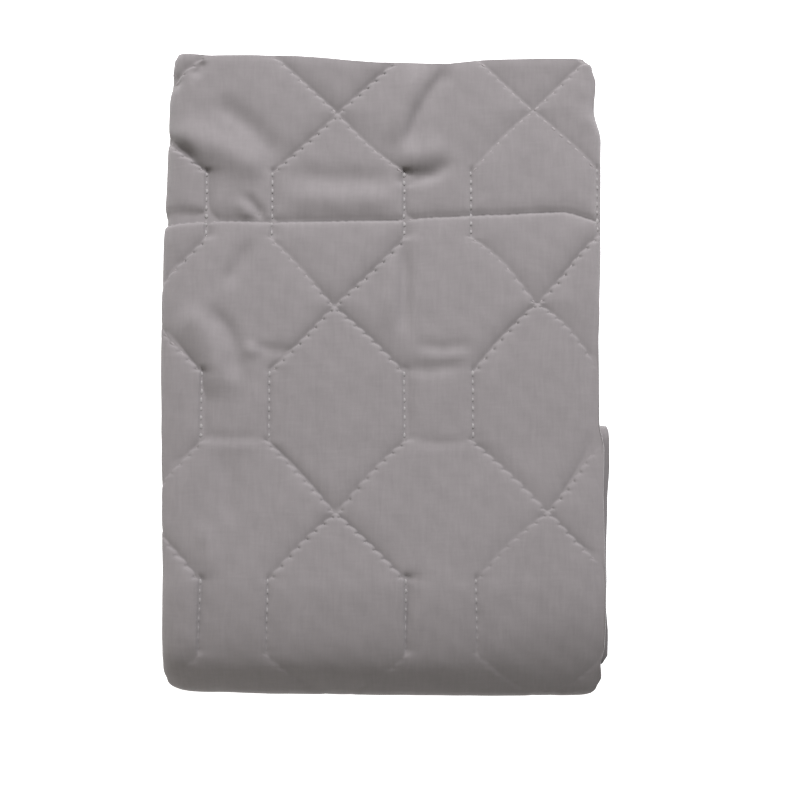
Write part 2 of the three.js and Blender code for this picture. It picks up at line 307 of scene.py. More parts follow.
def place(panel, across, along, face, swell=0):
    """Folds points into the bundle, in mm. face goes from -1 to 1, and swell is added outwards."""
    near, far = face_of(panel, -1, across, along), face_of(panel, 1, across, along)
    lift, half = (near + far) / 2, (far - near) / 2
    proud = face * (half + swell)
    crease, seam = sides(along)
    outside = panel is PANELS["front"]
    reach = FOLD_REACH if outside else lift
    fold_x = crease + FOLD_REACH + CLOTH / 2 - (0 if outside else BACK_FOLD_IN)

    on_leg = (np.abs(across) - FOLD_CLOTH) / (CASE_WIDTH / 2 - FOLD_CLOTH)
    turn = np.clip(across / FOLD_CLOTH, -1, 1) * math.pi / 2
    nx, nz = -np.cos(turn) / reach, np.sin(turn) / lift
    size = np.hypot(nx, nz)
    x = np.where(
        on_leg > 0,
        mix(fold_x, seam, on_leg),
        fold_x - reach * np.cos(turn) + proud * nx / size,
    )
    out = np.where(
        on_leg > 0,
        np.sign(across) * (lift + proud),
        lift * np.sin(turn) + proud * nz / size,
    )
    y, z, dy, dz = middle(along)
    wave = eased(WAVE_Y, WAVE_ALONG, WAVE_X, along, x)
    return np.stack([x, y + out * dz + wave, z - out * dy], 1)


print("a point of the mouth:", place(PANELS["front"], np.array([200.0]), np.array([0.0]), 1).round(1))

# %% [markdown]
# ## The quilting
#
# The machine stitched the cloth in columns of long six-sided cells: two upright rows of stitches,
# then two slanting rows that cross, and so on. All of it follows one step, so a repeat is three steps
# wide and three long. `u` and `v` count millimetres from one crossing, across the cloth and along it.
# Every repeat looks like a quarter of itself mirrored, so the distance to the nearest row of stitches
# needs only two short lines.
#
# The rows of crossings are not evenly spaced on the real cloth, they rise a little towards the seams,
# and the columns drift sideways by a few millimetres. Tables say where they lie, and how the
# slanting rows bow. The waves across the strip belong to the mouth and the hem line alone, so
# `set_back` takes them out of the pattern again.

# %% The pattern, and where it lies on the cloth
STEP = 39.2  # one step of the pattern
COLUMN_X = -27.6  # X of the column of crossings that u counts from
STITCHES_A_STEP = 8  # stitches in one step along the cloth
ROW_STEPS = [-1, 0, 1, 2, 3, 4, 5, 6, 7, 8, 9, 17]
ROW_ALONG = [-3.0, 32.0, 67.4, 107.2, 147.2, 185.8, 226.5, 267.5, 305.2, 346.0, 385.5, 699.8]
ROW_RISE, RISE_STEPS = 1.8, (1.5, 4)  # how far the rows rise towards the seams, and over which steps
DRIFT_ROWS = [0, 1.5, 3, 4, 5, 6, 7, 8]
DRIFT_COLUMNS = [-2, -1, 0, 1, 2, 3, 4]
DRIFT_X = [  # how far the columns stand to the right of their step
    [0.6, 0.4, 0.0, -0.2, -0.4, -2.5, -4.4],
    [1.0, 0.6, 0.1, -0.2, -0.1, -2.6, -4.3],
    [0.6, 0.0, -1.6, -0.6, -0.4, -0.6, -3.4],
    [-0.3, -0.2, -0.2, -0.2, 0.4, -1.8, -3.8],
    [-0.3, -0.1, 0.0, 0.1, 0.4, -0.6, -3.7],
    [0.5, 0.2, -0.2, 0.6, 1.2, 3.8, 2.0],
    [0.9, 0.4, 0.5, 0.6, 1.4, 3.0, 3.0],
    [-0.3, -0.4, 0.2, 0.6, 2.2, 3.0, 3.0],
]
BOW_ROWS = [-0.5, 0.5, 2.5, 3.5, 5.5, 6.5, 8.5]
BOW_COLUMNS = [-2.5, -0.5, 0.5, 2.5, 3.5]
BOW = [  # how far the middle of each slanting row bows along the cloth
    [0] * 5,
    [0.8, 0.8, 2.5, -2.0, -0.8],
    [0, -1.2, 0.8, -4.7, 0.2],
    [-1.2, 0, -1.2, -1.8, -4.3],
    [-0.8, -1.1, -3.0, -2.5, 0.4],
    [-3.7, -2.6, -1.1, -2.5, 0.8],
    [0] * 5,
]


def mirrored(t):
    """A place in the pattern, from -1.5 to 1.5 steps from the nearest crossing."""
    return (t + 1.5 * STEP) % (3 * STEP) - 1.5 * STEP


def drift(u, v):
    return eased(DRIFT_X, DRIFT_ROWS, DRIFT_COLUMNS, v / STEP, u / STEP)


def bow(u, v):
    """Nothing at a crossing and from one step away on, and the whole bow halfway between them."""
    away = np.abs(mirrored(v)) / STEP
    nearest = np.copysign(0.5, mirrored(v)) + (v - mirrored(v)) / STEP
    return eased(BOW, BOW_ROWS, BOW_COLUMNS, nearest, u / STEP) * 4 * away * np.clip(1 - away, 0, 1)


def fold_start(along):
    """X where the lengthwise fold begins, and how far the cloth beyond it is stretched."""
    crease, seam = sides(along)
    fold_x = crease + FOLD_REACH + CLOTH / 2
    return fold_x, (seam - fold_x) / (CASE_WIDTH / 2 - FOLD_CLOTH)


def set_back(along, u):
    """How far the pattern lies further along than its row says, at a place across it."""
    wave = eased(WAVE_Y, WAVE_ALONG, WAVE_X, along, u + COLUMN_X)
    return wave - ROW_RISE * ramp(u / STEP, *RISE_STEPS)


def pattern_to_cloth(u, v):
    along = np.interp(v / STEP, ROW_STEPS, ROW_ALONG)
    along = along + set_back(along, u) + bow(u, v)
    fold_x, stretch = fold_start(along)
    reach = u + COLUMN_X + drift(u, v) - fold_x
    return FOLD_CLOTH + np.where(reach > 0, reach / stretch, reach), along


def cloth_to_pattern(across, along, rounds=6):
    """The way back. The shifts depend on the answer, so it is closed in on in a few rounds."""
    fold_x, stretch = fold_start(along)
    reach = across - FOLD_CLOTH
    x = fold_x + np.where(reach > 0, reach * stretch, reach)
    u, row, v = x - COLUMN_X, along, np.zeros(np.shape(along))
    for _ in range(rounds):
        row = along - set_back(row, u) - bow(u, v)
        v = STEP * np.interp(row, ROW_ALONG, ROW_STEPS)
        u = x - COLUMN_X - drift(u, v)
    return u, v


def stitch_distance(u, v):
    """Distance to the nearest row of stitches."""
    a, b = np.abs(mirrored(u)), np.abs(mirrored(v))
    t = np.clip((a + b) / 2, 0, STEP)
    slanting = np.hypot(a - t, b - t)
    upright = np.hypot(a - STEP, b - np.maximum(b, STEP))
    return np.minimum(slanting, upright)


print("a repeat is", 3 * STEP, "mm, a stitch is", round(STEP / STITCHES_A_STEP, 2), "mm long")

# %% [markdown]
# ## Relief of the quilting
#
# Each row of stitches pulls the cloth down into a valley, and the wadding puffs up between the rows.
# A bump map alone would look flat from the side, so the valleys are moved into the mesh. The cloth
# slid a little as it was sewn, so every valley has a gentle side and a steep one: right of an upright
# row and above a slanting one it is gentle. Below a slanting row and the hem line the cloth ends in a
# lip that bulges over the thread between one needle hole and the next, so the edge of the valley is
# scalloped.
#
# The rows of a crossing are joined as depths that add up without ever passing the deepest. A table
# says how strongly each row is drawn in, and the puffs are fuller near the mouth than over the roll,
# where the cloth is pulled tight.

# %% Valleys, puffs and needle holes
DEPTH = 3.2  # of a row of full strength
STRENGTH = [  # of the slanting rows, in the rows and columns of BOW
    [0.5, 0.35, 0.9, 0.2, 0.4],
    [1.0, 0.8, 0.25, 0.1, 0.04],
    [0.75, 0.2, 1.0, 0.18, 1.0],
    [1.0, 1.0, 0.75, 1.0, 0.35],
    [0.7, 1.0, 0.6, 0.5, 1.0],
    [0.8, 0.75, 0.8, 0.17, 0.65],
    [0.1] * 5,
]
UPRIGHT_COLUMNS, UPRIGHT = [-2, -1, 1, 2, 4], [1.0, 0.5, 1.0, 0.35, 0.45]  # of the upright rows
ABOVE, BELOW, SAG, LIP = 3.2, 0.5, 2.2, 1.3  # a slanting row: its two sides, and how its lip hangs
RIGHT, LEFT = 5.0, 0.6  # an upright row: its two sides
SLANTING_ENDS = STEP - 2, STEP + 3  # a slanting row ends between these, counted from its crossing
UPRIGHT_STARTS = STEP - 3, STEP + 2  # and here an upright one begins
TRAIL, TRAIL_REACH = 0.08, 4  # the share of a steep side that trails off, and how far
ROLL_STEPS, ROLL_FADE = (7.2, 8.6), 0.85  # over these steps the upright rows lose this share
CROWN_ROWS, CROWNS, CROWN_REACH = [0, 3, 5, 8], [1.6, 1.2, 0.8, 0.5], 10  # how far the cells puff up
THINNEST, HOLE_DEPTH, HOLE_REACH = 0.6, 0.3, 1.2  # the panel at its thinnest, and needle holes
ROUNDNESS = 0.8  # the power that shapes a bulge: a lower one is blunter
HEM_STITCH, HEM_VALLEY, HEM_SAG, HEM_LIP = 4.9, 2.2, 2.1, 0.25
HEM_GENTLE, HEM_ACROSS = (3.8, 2.2), (60, 150)  # its gentle side, by the fold and further right


def holes(place_in_row):
    """1 at a needle hole and 0 halfway to the next."""
    return 0.5 + 0.5 * np.cos(2 * math.pi * place_in_row)


def bulges(place_in_row):
    """How far the cloth bulges between two needle holes: round, with a notch at each hole."""
    return np.abs(np.sin(math.pi * place_in_row)) ** ROUNDNESS


def hanging(n, gentle, steep, lip=0):
    """A valley with a gentle side from n = 0 up, and a steep side from n = lip down."""
    out, back = np.maximum(n, 0), np.minimum(n - lip, 0)
    drop = (1 - TRAIL) * np.exp(back / steep) + TRAIL * np.exp(back / TRAIL_REACH)
    return np.exp(-out / gentle) * drop


def valley(u, v):
    """How deep the rows of stitches draw the cloth in."""
    x, y = mirrored(u), mirrored(v)
    stitch, bulge = holes(v * STITCHES_A_STEP / STEP), bulges(v * STITCHES_A_STEP / STEP)
    tight = 1 - ROLL_FADE * ramp(v / STEP, *ROLL_STEPS)
    upright = ramp(np.abs(y), *UPRIGHT_STARTS) * hanging(x - np.copysign(STEP, x), RIGHT, LEFT)
    untouched = 1 - np.interp(u / STEP, UPRIGHT_COLUMNS, UPRIGHT) * tight * upright
    strength = eased(STRENGTH, BOW_ROWS, BOW_COLUMNS, v / STEP, u / STEP)
    for lean in (1, -1):
        above, foot = (lean * x - y) / math.sqrt(2), (lean * x + y) / 2
        within = 1 - ramp(np.abs(foot), *SLANTING_ENDS)
        lip = hanging(above + SAG, ABOVE, BELOW, LIP * bulge)
        untouched = untouched * (1 - strength * within * lip)
    from_hole = (np.abs(x) - STEP) / HOLE_REACH
    needle = HOLE_DEPTH * tight * stitch * upright * np.exp(-(from_hole**2))
    return DEPTH * (1 - untouched) + needle


def hem_valley(across, along):
    before = HEM_DEPTH - along
    bulge = bulges(across / HEM_STITCH)
    gentle = mix(*HEM_GENTLE, ramp(across, *HEM_ACROSS))
    return HEM_VALLEY * hanging(before + HEM_SAG, gentle, BELOW, HEM_LIP * bulge)


def puff(u, v, along):
    """How far the wadding lifts the cloth: not at all at a row of stitches, most in mid cell."""
    crown = np.interp(v / STEP, CROWN_ROWS, CROWNS)
    distance = np.minimum(stitch_distance(u, v), np.abs(along - HEM_DEPTH))
    return crown * (1 - np.exp(-distance / CROWN_REACH))


probes = valley(np.array([0.0, 0.0, STEP, 1.5 * STEP]), np.array([0.0, -6.0, 1.5 * STEP, 0.0]))
print("valley at a crossing, above it, on an upright row, between columns:", probes.round(2))

# %% [markdown]
# ## Creases
#
# Handling left soft ridges and troughs that don't follow the stitches: a fat roll of cloth near the
# corner of the mouth, a pocket at the top of a row, a few curved folds where the bundle was pressed.
# Cloth noise would scatter them anywhere. Each is a short line here, in the bundle's own
# millimetres, with a height that is below 0 for a trough, and a width. It fades at both ends, and a
# wide one fades over a longer way. Some have a second width, for the steeper flank on the right of
# the line.

# %% Ridges and troughs on the top face: height, half width, places as (x, y), steeper half width
CREASES = [
    # the fat roll by the corner of the mouth, and the trough behind it
    (3.6, 9.5, [(-126, 142), (-112, 137), (-98, 132), (-84, 125), (-72, 116)]),
    (-2.3, 8.0, [(-102, 159), (-90, 152), (-78, 143), (-69, 133), (-64, 122)], 5.0),
    (-2.8, 4.0, [(-138, 141), (-122, 133), (-110, 125)], 1.6),
    # the turned corner of the mouth
    (-2.4, 2.6, [(-106, 184), (-112, 174)]),
    (-2.1, 4.0, [(-128, 178), (-122, 167)]),
    # short creases between the fat roll and the hem line
    (-2.4, 3.2, [(-82, 105), (-77, 98), (-71, 91)], 2.2),
    (1.2, 3.6, [(-87, 101), (-78, 91)]),
    # waves across the cell above the hem line
    (-1.9, 7.0, [(-58, 116), (-32, 114), (4, 113)]),
    (1.4, 7.0, [(-54, 103), (-23, 101), (8, 103)]),
    # the pocket under the slanting row, and the trough that runs down to it from the mouth
    (-3.4, 5.5, [(6, 113), (17, 113), (30, 116), (39, 124)], 2.4),
    (2.2, 7.0, [(4, 126), (20, 127), (37, 133)]),
    (-3.0, 5.5, [(37, 184), (34, 175), (27, 166), (20, 153), (16, 142), (13, 134)], 3.0),
    (2.2, 6.0, [(20, 180), (15, 166), (9, 150), (6, 135)]),
    # the cloth falls away at the corner by the seams
    (-2.4, 7.0, [(124, 182), (124, 165), (121, 150)]),
    # the hem line is drawn in deeper by the lengthwise fold
    (-3.4, 5.0, [(-142, 90.5), (-120, 90.5), (-98, 90.5)], 1.5),
    # an old fold line across the hem, and small curved folds at its foot
    (-2.5, 3.4, [(12, 76), (12, 48), (11, 24)]),
    (1.2, 5.0, [(3, 72), (3, 48), (3, 26)]),
    (-1.1, 3.6, [(17, 16), (34, 14), (52, 16)]),
    (0.8, 3.2, [(20, 10.5), (35, 9), (51, 11)]),
    (-1.3, 4.6, [(8, 4), (28, 1), (47, 4)], 3.0),
    # the soft hollow that runs down from the hem line on the left
    (-2.1, 4.5, [(-78, 78), (-85, 64), (-94, 49)]),
    # the long bent ridge on the left, and the hollow beside it
    (3.0, 9.0, [(-118, 37), (-106, 23), (-99, 12), (-96, 0), (-97, -14)]),
    (-2.4, 5.0, [(-103, 39), (-92, 26), (-87, 13), (-86, -5)]),
    (1.7, 4.0, [(-80, 17), (-75, 9)]),
    (-1.3, 3.4, [(-77, 17), (-66, 13), (-54, 13)]),
    # faint marks of pressing
    (-0.8, 2.8, [(-104, -37.5), (-86, -38), (-68, -37.5)]),
    (0.4, 3.4, [(-104, -43), (-86, -43.5), (-68, -43)]),
    (-0.8, 3.0, [(12, -39), (32, -41), (50, -39)]),
    (-1.4, 5.5, [(-90, -45), (-89, -66), (-89, -88)]),
    (1.4, 5.5, [(-106, -86), (-100, -100), (-96, -114)]),
    (-1.0, 2.4, [(10, -116), (22, -117)]),
    # the roll is fuller towards the lengthwise fold, and the stack falls away sooner by the seams
    (3.2, 22.0, [(-200, -163), (-70, -163), (90, -165)], 15.0),
    (-1.3, 22.0, [(44, -126), (90, -126), (150, -126)]),
    # both long edges are rounded off
    (-1.8, 13.0, [(-131, 210), (-131, 60), (-131, -200)]),
    (-1.8, 14.0, [(129, 60), (129, -60), (129, -200)]),
]
WIDE, FADE = 12, 12  # half width of a wide ridge, and the longest fade of any other
OVERRUN = 0.3  # the share of its fade by which a ridge runs on past its end


def crease(x, y, height, half_width, points, steeper=None):
    """The height of one ridge, looked up on whichever leg of its line is nearest."""
    points = np.array(points, float)
    legs = np.diff(points, axis=0)
    sizes = np.hypot(*legs.T)
    nearest, where = np.full(x.shape, np.inf), np.zeros(x.shape)
    flank = np.full(x.shape, float(half_width))
    for start, leg, size, before in zip(points, legs, sizes, np.cumsum(sizes) - sizes):
        from_x, from_y = x - start[0], y - start[1]
        t = (from_x * leg[0] + from_y * leg[1]) / size**2
        off = np.hypot(from_x - np.clip(t, 0, 1) * leg[0], from_y - np.clip(t, 0, 1) * leg[1])
        closer = off < nearest
        right = from_x * leg[1] > from_y * leg[0]
        nearest, where = np.where(closer, off, nearest), np.where(closer, before + t * size, where)
        flank = np.where(closer, np.where(right, steeper or half_width, half_width), flank)
    whole = sizes.sum()
    fade = min(whole / 3, FADE if half_width < WIDE else 3 * half_width)
    ends = ramp(where, -OVERRUN * fade, fade) * ramp(whole - where, -OVERRUN * fade, fade)
    return height * ends * np.exp(-((nearest / flank) ** 2))


def creases(x, y):
    return sum(crease(x, y, *line) for line in CREASES)


# the wadding is a little uneven: waves, each with its length, its turn and its shift
UNEVEN, WAVES = 0.06, [(41, 0.4, 0.9), (29, 1.9, 0.2), (19, 2.7, 2.1), (13, 0.9, 4.0)]


def unevenness(x, y):
    return sum(
        UNEVEN * np.sin(2 * math.pi * (x * math.cos(turn) + y * math.sin(turn)) / size + shift)
        for size, turn, shift in WAVES
    )


print(len(CREASES), "ridges and troughs")

# %% [markdown]
# ## The outer face of the front panel
#
# Only the top run, its roll and its fold can puff up. Where the panel is pressed against another run
# or the table it may sink at the stitches but not swell, so the runs never pass through each other.
# Round the lengthwise fold the cloth is pulled tight, so the rows are shallower there.

# %% How far the outer face swells
FREE_ACROSS = -6, 12  # over the lengthwise fold, to where the cloth can puff up
PRESSED_ALONG = UNDER - 25, UNDER - 5  # where the roll comes down on the table
FOLD_SHALLOW, FOLD_ACROSS = 0.25, (0, 14)  # the share of a row's depth left at the fold


def front_swell(across, along):
    u, v = cloth_to_pattern(across, along)
    free = ramp(across, *FREE_ACROSS) * (1 - ramp(along, *PRESSED_ALONG))
    x, y, _ = place(PANELS["front"], across, along, 1).T
    soft = (puff(u, v, along) + creases(x, y) + unevenness(x, y)) * free
    drawn = valley(u, v) * mix(FOLD_SHALLOW, 1, ramp(across, *FOLD_ACROSS))
    swell = soft - drawn - hem_valley(across, along)
    return np.maximum(swell, THINNEST - cloth_at(along)) * off_seam(across, along)


probe = front_swell(np.array([0.0, 120, 120]), np.array([50.0, 60, 95]))
print("swell on the crease, in a cell and in the hem line:", probe.round(2))

# %% [markdown]
# ## Cutting the front panel
#
# The panel starts as a flat grid that is lined up with the stitches, six squares to a step of the
# pattern, and `solidify` makes it a slab. Cutting every square small would take millions of faces, so
# only the squares that show are cut small, and those by the stitches smaller still.

# %% A flat slab, cut finer where it shows
SQUARES_A_STEP = 6
CELL = STEP / SQUARES_A_STEP
FIRST_COLUMN, LAST_COLUMN, FIRST_ROW, LAST_ROW = -55, 24, -6, 98
FOLD_ZONE, EDGE_ZONE = 24, 8  # how near the fold and an edge the cloth is cut finer
UNDERSIDE = 210  # mm of the loose end, whose underside shows from the side


def flat_slab(columns, rows, width, length, centre):
    """A grid made a slab whose faces lie at a height of -1 and 1, with an edge round its rim at 0."""
    slab = bmesh.new()
    bmesh.ops.create_grid(slab, x_segments=columns, y_segments=rows, size=0.5)
    bmesh.ops.scale(slab, vec=(width, length, 1), verts=slab.verts)
    bmesh.ops.translate(slab, vec=(*centre, 0), verts=slab.verts)
    bmesh.ops.solidify(slab, geom=slab.faces[:], thickness=2)
    low = min(vert.co.z for vert in slab.verts)
    bmesh.ops.translate(slab, vec=(0, 0, -1 - low), verts=slab.verts)
    rim = [edge for edge in slab.edges if abs(edge.verts[0].co.z - edge.verts[1].co.z) > 1]
    bmesh.ops.subdivide_edges(slab, edges=rim, cuts=1)
    return slab


def cut(slab, cuts, wanted, on_cloth=pattern_to_cloth):
    """Cuts each edge of the squares that wanted() chooses, from where they lie on the cloth."""
    squares = slab.faces[:]
    u, v, side = np.array([square.calc_center_median() for square in squares]).T
    chosen = wanted(*on_cloth(u, v), u, v, side)
    edges = {edge for square, yes in zip(squares, chosen) if yes for edge in square.edges}
    bmesh.ops.subdivide_edges(slab, edges=list(edges), cuts=cuts, use_grid_fill=True)
    print("  cut", int(chosen.sum()), "squares, now", len(slab.faces))


def shows(across, along, u, v, side):
    return (side > 0.5) & (across > -FOLD_ZONE / 2) & (along < PRESSED_ALONG[1])


def near_edge(across, along, fold_zone, seam_zone):
    from_seam = CASE_WIDTH / 2 - np.abs(across)
    return (np.abs(across) < fold_zone) | (along < EDGE_ZONE) | (from_seam < seam_zone)


def bends(across, along, u, v, side):
    rounds = ((along > SHOULDER) & (along < UNDER)) | ((along > INNER_FOLD) & (along < INSIDE))
    return rounds | near_edge(across, along, FOLD_ZONE, EDGE_ZONE)


def seen_below(across, along, u, v, side):
    table = (along > UNDER) & (along < INNER_FOLD) & (across > 0)
    return (side > 0.5) & (table | (along < UNDERSIDE) & (across < 0))


def near_stitches(reach, below, until=UNDER):
    """Squares within reach of a row, or of the lip that hangs below it."""
    def wanted(across, along, u, v, side):
        row = stitch_distance(u, v - below * math.sqrt(2))
        near = np.minimum(row, np.abs(along - HEM_DEPTH - below)) < reach
        return shows(across, along, u, v, side) & near & (along < until)

    return wanted


columns, rows = LAST_COLUMN - FIRST_COLUMN, LAST_ROW - FIRST_ROW
centre = (FIRST_COLUMN + LAST_COLUMN) / 2 * CELL, (FIRST_ROW + LAST_ROW) / 2 * CELL
slab = flat_slab(columns, rows, columns * CELL, rows * CELL, centre)
cut(slab, 2, shows)
cut(slab, 1, lambda *spot: ~shows(*spot) & (bends(*spot) | seen_below(*spot)))
cut(slab, 1, near_stitches(reach=3.8, below=1.0))
cut(slab, 1, near_stitches(reach=1.7, below=1.3, until=350))
print("the slab has", sum(len(face.verts) - 2 for face in slab.faces), "triangles")

# %% [markdown]
# ## Folding the front panel
#
# The flat slab now goes round its folds: every vertex looks up its place on the cloth and then in the
# bundle. The squares next to the panel's edges are stretched a little so that they end exactly on
# them, and the rim is set back above and below its middle, which rounds it. The pattern's own
# coordinates are kept as a UV map, so a finish can follow the cloth through its folds.

# %% Move every vertex to its place
EDGE_COLUMNS, EDGE_ROWS = 3, 2  # squares that are stretched, at the seams and at both ends
RIM_SETBACK = 0.5
INNER_DIP, INNER_REACH = 0.3, 2.5  # the stitches show faintly on the face inside the bag


def eased_to_edges(column, row):
    """Cloth places of the slab's grid, with its outer squares stretched onto the panel's edges."""
    half = CASE_WIDTH / 2
    u, v = column * CELL, row * CELL
    across, along = pattern_to_cloth(u, v)
    for end, target in ((LAST_COLUMN, half), (FIRST_COLUMN, -half)):
        share = 1 - np.abs(end - column) / EDGE_COLUMNS
        last = (end - math.copysign(EDGE_COLUMNS, end)) * CELL
        inner, _ = pattern_to_cloth(np.full(u.shape, last), v)
        across = np.where(share > 0, mix(inner, target, share), across)
    for end, target in ((LAST_ROW, CASE_LENGTH), (FIRST_ROW, 0)):
        share = 1 - np.abs(end - row) / EDGE_ROWS
        last = (end - math.copysign(EDGE_ROWS, end)) * CELL
        _, inner = pattern_to_cloth(u, np.full(u.shape, last))
        along = np.where(share > 0, mix(inner, target, share), along)
    return across, along


def new_piece(data, points):
    """The finished object, from a mesh and its points in mm."""
    data.vertices.foreach_set("co", (points * MM).astype(np.float32).ravel())
    data.update()
    data.shade_smooth()
    piece = bpy.data.objects.new(data.name, data)
    bpy.context.collection.objects.link(piece)
    return piece


def fold(slab, name, panel, across, along, face, swell, pattern):
    """Folds a slab into the bundle. The pattern becomes its UV map, in metres."""
    data = bpy.data.meshes.new(name)
    slab.to_mesh(data)
    slab.free()
    corner = np.zeros(len(data.loops), np.int32)
    data.loops.foreach_get("vertex_index", corner)
    flat = np.stack(pattern, 1) * MM
    data.uv_layers.new(name="cloth").data.foreach_set("uv", flat[corner].astype(np.float32).ravel())
    setback = RIM_SETBACK * np.abs(face)
    across = np.clip(across, setback - CASE_WIDTH / 2, CASE_WIDTH / 2 - setback)
    along = np.clip(along, setback, CASE_LENGTH - setback)
    return new_piece(data, place(panel, across, along, face, swell))


def point_outwards(piece):
    shell = bmesh.new()
    shell.from_mesh(piece.data)
    if shell.calc_volume(signed=True) < 0:
        bmesh.ops.reverse_faces(shell, faces=shell.faces[:])
        shell.to_mesh(piece.data)
    volume = shell.calc_volume()
    closed = all(edge.is_manifold for edge in shell.edges)
    triangles = sum(len(face.verts) - 2 for face in shell.faces)
    shell.free()
    print(f"{piece.name}: {volume * 1e6:.0f} cm3, closed: {closed}, {triangles} triangles")


column, row, face = (np.array([vert.co for vert in slab.verts]) / (CELL, CELL, 1)).T
across, along = eased_to_edges(column, row)
u, v = cloth_to_pattern(across, along)
outer = front_swell(across, along)
inner = -INNER_DIP * np.exp(-stitch_distance(u, v) / INNER_REACH)
swell = mix(inner, outer, (face + 1) / 2)
front = fold(slab, "front_panel_quilt", PANELS["front"], across, along, face, swell, (u, v))
point_outwards(front)

# %% [markdown]
# ## The back panel
#
# The back panel lies inside the fold, face to face with itself, so only its edges show: at the mouth,
# and along the side seams, where it is sewn to the front panel. It is made the same way, from a
# coarser grid, cut finer only at its fold, bends and edges.

# %% Cut and fold the back panel
BACK_COLUMNS, BACK_ROWS = 72, 96
SEAM_ZONE = 6  # this near its seams the back panel is cut once more


def on_grid(*spot):
    """The lines of this slab already measure the cloth."""
    return spot


slab = flat_slab(BACK_COLUMNS, BACK_ROWS, CASE_WIDTH, CASE_LENGTH, (0, CASE_LENGTH / 2))
cut(slab, 1, bends, on_grid)
cut(slab, 1, lambda across, along, *_: near_edge(across, along, FOLD_ZONE / 2, SEAM_ZONE), on_grid)
across, along, face = np.array([vert.co for vert in slab.verts]).T
no_swell = np.zeros(len(face))
back = fold(slab, "back_panel_quilt", PANELS["back"], across, along, face, no_swell, (across, along))
point_outwards(back)

# %% [markdown]
# ## Stitches
#
# The thread lies in the valleys as a row of short beads: it comes up through one needle hole and goes
# down through the next. A texture of dashes would be flat, and a bevelled curve would have no gaps.
# Each stitch is a small ball drawn out to a bead, laid from hole to hole. The upright rows show
# a thread lighter than the cloth, round and proud. In the slanting rows and the hem line the stitches
# are a little smaller and lie under the lip of the cloth, drawn so tight that they sink in; their
# thread is painted darker, near the cloth's tone, as painted shade. The quilting's rows are drawn in
# deeper towards the roll.

# %% Where the stitches lie
PITCH = STEP / STITCHES_A_STEP
REPEAT_COLUMNS, REPEAT_ROWS = range(-4, 2), range(6)  # the repeats that cover the panel
UNDER_LIP, HEM_UNDER_LIP = 2.6, 1.8  # how far below its row a thread lies
FROM_SEAM, FROM_MOUTH = 1.5, 0.8
UPRIGHT_ROWS = [(side * STEP, STEP + k * PITCH, 0) for side in (-1, 1) for k in range(STITCHES_A_STEP)]
SLANTING_ROWS = [
    (side * k * PITCH, k * PITCH, side * PITCH)
    for side in (-1, 1)
    for k in range(-STITCHES_A_STEP, STITCHES_A_STEP)
]


def repeated(stitches, below=0):
    """Both ends of every stitch. A stitch of the repeat is its start and its reach in u."""
    corners = np.array(
        [(3 * STEP * column, 3 * STEP * row, 0) for column in REPEAT_COLUMNS for row in REPEAT_ROWS]
    )
    u, v, sideways = (corners[:, None] + np.array(stitches)[None]).reshape(-1, 3).T
    return pattern_to_cloth(u, v + below), pattern_to_cloth(u + sideways, v + below + PITCH)


def on_panel(start, end):
    """The stitches whose two ends both lie on the panel, clear of its edges."""
    inside = np.ones(len(start[0]), bool)
    for across, along in (start, end):
        inside &= np.abs(across) < CASE_WIDTH / 2 - FROM_SEAM
        inside &= (along > FROM_MOUTH) & (along < CASE_LENGTH - FROM_SEAM)
    return ([values[inside] for values in pair] for pair in (start, end))


each_way = int(CASE_WIDTH / 2 / HEM_STITCH)
hem_across = np.arange(-each_way, each_way + 1) * HEM_STITCH
hem_along = np.full(len(hem_across), HEM_DEPTH + HEM_UNDER_LIP)
hem_row = (hem_across, hem_along), (hem_across + HEM_STITCH, hem_along)
print("stitches in a repeat:", len(UPRIGHT_ROWS), "upright,", len(SLANTING_ROWS), "slanting")


# %% Lay a bead from each needle hole to the next
UNEVEN_STITCH = 0.2  # how far stitches differ in length, in width and sideways
DEEPER, ROLL_DEEPER = (120, 220), (310, 345)  # along: where stitches sink deeper
ROLL_SUNK = 0.3  # how much deeper over the roll


def many_balls(name, count):
    """A mesh of count small balls in one place, and the points of one of them."""
    data = bpy.data.meshes.new(name)
    balls = bmesh.new()
    bmesh.ops.create_uvsphere(balls, u_segments=8, v_segments=6, radius=1)
    balls.to_mesh(data)  # to a mesh and back numbers the points in order
    balls.clear()
    balls.from_mesh(data)
    one, faces = np.array([vert.co for vert in balls.verts]), len(balls.faces)
    while len(balls.verts) < count * len(one):
        missing = count - len(balls.verts) // len(one)
        copied = balls.faces[: missing * faces]
        bmesh.ops.duplicate(balls, geom=copied + list({vert for f in copied for vert in f.verts}))
    balls.to_mesh(data)
    balls.free()
    return data, one


def on_surface(across, along, proud=0):
    return place(PANELS["front"], across, along, 1, front_swell(across, along) + proud)


def unit(vectors):
    return vectors / np.linalg.norm(vectors, axis=1, keepdims=True)


